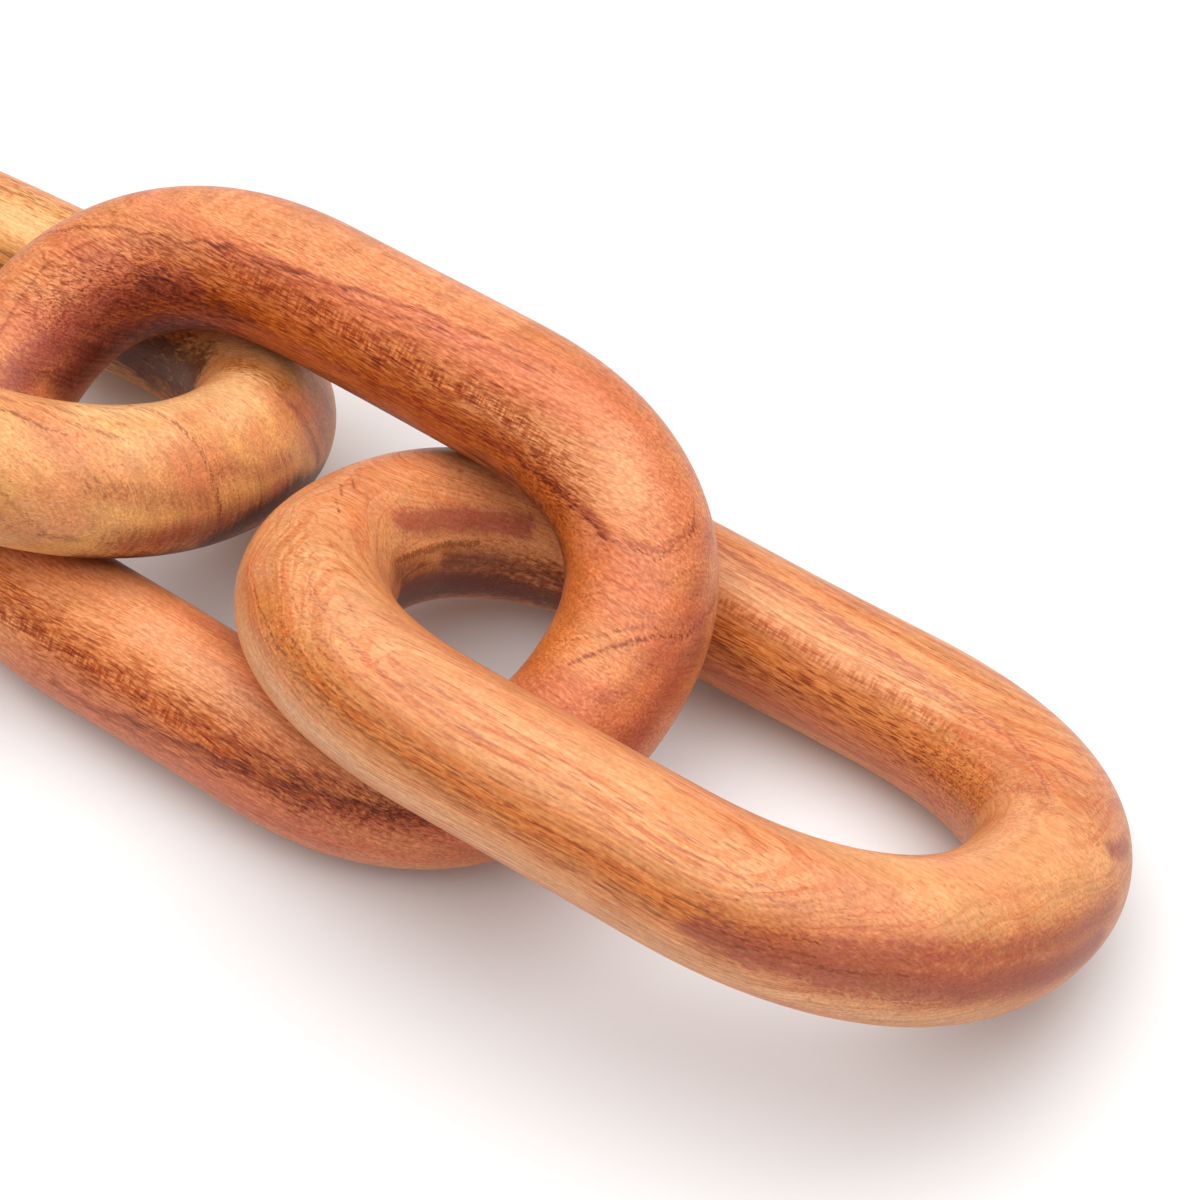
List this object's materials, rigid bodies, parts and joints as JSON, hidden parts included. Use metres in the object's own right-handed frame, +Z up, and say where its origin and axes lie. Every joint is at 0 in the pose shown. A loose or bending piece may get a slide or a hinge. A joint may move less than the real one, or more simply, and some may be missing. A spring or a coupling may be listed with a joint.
{
  "type": "carved wooden chain",
  "caption": "Hand-carved chain of loose interlocked oval links in solid hardwood, round rod section, sanded smooth, lying on a table.",
  "frame": {"origin": "on the table, under the middle of the chain's bounding box", "axes": "+X along the chain from the back link to the front link, +Z up from the table"},
  "size_m": [0.3476, 0.1058, 0.0621],
  "materials": {
    "wood_front": "oiled satin, warm orange tan with dark pore lines and purple streaks",
    "wood_middle": "oiled satin, red brown with ripple figure and dark streaks",
    "wood_back": "oiled satin, pale yellow tan sapwood with brown ring lines"
  },
  "bodies": {
    "root": {"link_front": "wood_front", "link_middle": "wood_middle", "link_back": "wood_back"}
  },
  "joints": []
}
